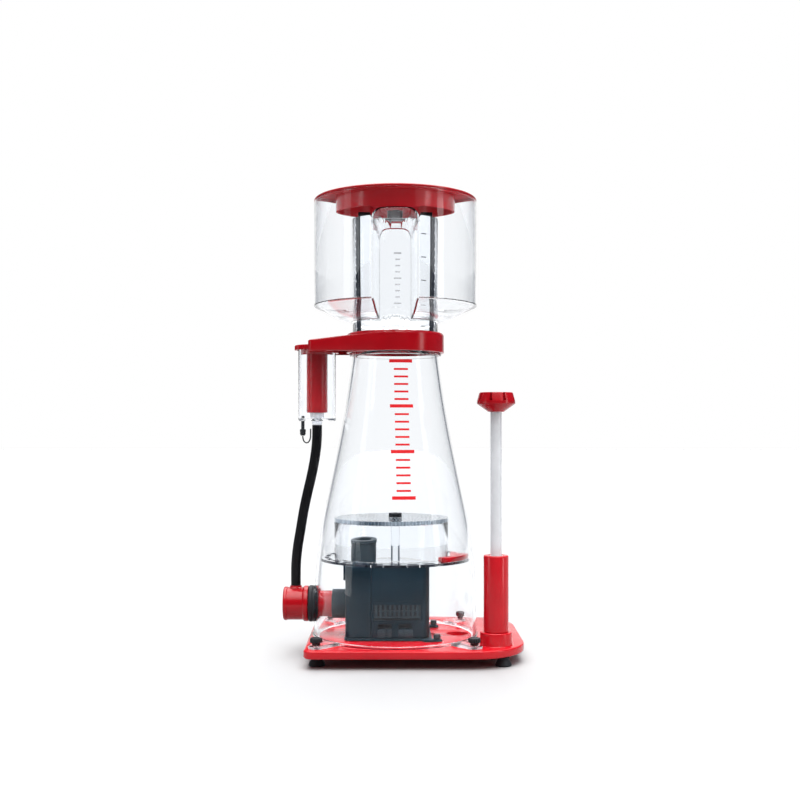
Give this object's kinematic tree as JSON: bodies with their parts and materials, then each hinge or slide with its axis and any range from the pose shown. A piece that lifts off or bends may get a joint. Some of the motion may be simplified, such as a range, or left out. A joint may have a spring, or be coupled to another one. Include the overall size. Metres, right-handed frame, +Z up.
{
  "type": "protein skimmer",
  "caption": "In-sump protein skimmer: clear conical reaction body with internal pump, lift-off collection cup with neck cleaner, air silencer and turning outlet level control.",
  "frame": {"origin": "middle of the footprint box, on the floor under the feet", "axes": "+Z up, -Y the front with the cup's hand recess, +X towards the outlet post"},
  "size_m": [0.2928, 0.233, 0.56],
  "materials": {
    "red_plastic": "glossy moulded red plastic",
    "clear_acrylic": "clear colourless acrylic, polished",
    "black_plastic": "satin black plastic",
    "black_rubber": "soft black rubber",
    "hose_black": "flexible black air hose, slightly glossy",
    "pump_plastic": "satin dark blue-grey plastic",
    "riser_plastic": "satin grey plastic",
    "white_plastic": "milky white plastic",
    "silicone": "milky silicone",
    "ceramic": "smooth off-white ceramic",
    "magnet": "dark encapsulated magnet"
  },
  "bodies": {
    "root": {"base_plate": "red_plastic", "channel_cover": "red_plastic", "base_seal": "silicone", "foot_1": "black_rubber", "foot_2": "black_rubber", "foot_3": "black_rubber", "foot_4": "black_rubber", "reaction_body": "clear_acrylic", "cable_grommet": "black_rubber", "lower_bubble_plate": "clear_acrylic", "diffuser_drum": "clear_acrylic", "diffuser_plate": "clear_acrylic", "centre_post": "clear_acrylic", "post_screw": "black_plastic", "plate_lock_tab": "red_plastic", "motor_housing": "pump_plastic", "volute_housing": "pump_plastic", "outlet_riser": "riser_plastic", "pump_foot_plate": "pump_plastic", "pump_screw_1": "black_plastic", "pump_screw_2": "black_plastic", "pump_clip": "pump_plastic", "motor_cable_gland": "black_rubber", "rear_bearing": "ceramic", "front_bearing": "ceramic", "intake_pipe": "red_plastic", "intake_gasket": "black_rubber", "venturi_inlet": "red_plastic", "air_hose": "hose_black", "neck_collar": "red_plastic", "silencer_cup": "clear_acrylic", "silencer_tube": "red_plastic", "hose_nipple": "white_plastic", "outlet_post": "red_plastic", "rod_bush": "white_plastic"},
    "screw_1": {"thumb_screw_1": "black_plastic"},
    "screw_2": {"thumb_screw_2": "black_plastic"},
    "screw_3": {"thumb_screw_3": "black_plastic"},
    "screw_4": {"thumb_screw_4": "black_plastic"},
    "plate_nut": {"diffuser_nut": "black_plastic"},
    "rotor": {"impeller_shaft": "ceramic", "rotor_magnet": "magnet", "needle_impeller": "white_plastic"},
    "neck_seal": {"neck_o_ring": "black_rubber"},
    "cup": {"collection_cup": "clear_acrylic", "cup_floor": "clear_acrylic", "cup_recess": "clear_acrylic", "cup_neck": "clear_acrylic"},
    "neck_cleaner": {"wiper_frame": "black_plastic", "wiper_blade_left": "black_rubber", "wiper_blade_right": "black_rubber"},
    "lid": {"cup_lid": "red_plastic"},
    "air_dial": {"silencer_dial": "red_plastic"},
    "drain_plug": {"silencer_plug": "black_rubber", "plug_tether": "black_rubber"},
    "level_control": {"level_knob": "red_plastic", "level_rod": "white_plastic", "valve_sleeve": "white_plastic"}
  },
  "joints": [
    {"name": "screw_1_turn", "type": "hinge", "parent": "root", "child": "screw_1", "pos_m": [-0.0998, -0.0995, 0.03], "axis": [0, 0, 1], "continuous": true},
    {"name": "screw_2_turn", "type": "hinge", "parent": "root", "child": "screw_2", "pos_m": [0.0836, -0.0995, 0.03], "axis": [0, 0, 1], "continuous": true},
    {"name": "screw_3_turn", "type": "hinge", "parent": "root", "child": "screw_3", "pos_m": [0.0836, 0.0845, 0.03], "axis": [0, 0, 1], "continuous": true},
    {"name": "screw_4_turn", "type": "hinge", "parent": "root", "child": "screw_4", "pos_m": [-0.0998, 0.0845, 0.03], "axis": [0, 0, 1], "continuous": true},
    {"name": "nut_turn", "type": "hinge", "parent": "root", "child": "plate_nut", "pos_m": [-0.0081, -0.0075, 0.17], "axis": [0, 0, 1], "continuous": true},
    {"name": "impeller_spin", "type": "hinge", "parent": "root", "child": "rotor", "pos_m": [-0.0381, -0.0075, 0.06], "axis": [1, 0, 0], "continuous": true},
    {"name": "cup_twist", "type": "hinge", "parent": "root", "child": "neck_seal", "pos_m": [-0.0081, -0.0075, 0.378], "axis": [0, 0, 1], "range_deg": [0, 30]},
    {"name": "cup_lift", "type": "slide", "parent": "neck_seal", "child": "cup", "axis": [0, 0, 1], "range_m": [0, 0.06]},
    {"name": "lid_turn", "type": "hinge", "parent": "cup", "child": "neck_cleaner", "pos_m": [-0.0081, -0.0075, 0.54], "axis": [0, 0, 1], "continuous": true},
    {"name": "lid_lift", "type": "slide", "parent": "neck_cleaner", "child": "lid", "axis": [0, 0, 1], "range_m": [0, 0.04]},
    {"name": "dial_turn", "type": "hinge", "parent": "root", "child": "air_dial", "pos_m": [-0.1053, -0.0075, 0.377], "axis": [0, 0, 1], "range_deg": [0, 90]},
    {"name": "plug_pull", "type": "slide", "parent": "root", "child": "drain_plug", "axis": [0, 0, -1], "range_m": [0, 0.01]},
    {"name": "level_turn", "type": "hinge", "parent": "root", "child": "level_control", "pos_m": [0.1106, -0.0785, 0.3], "axis": [0, 0, 1], "range_deg": [0, 180]}
  ]
}
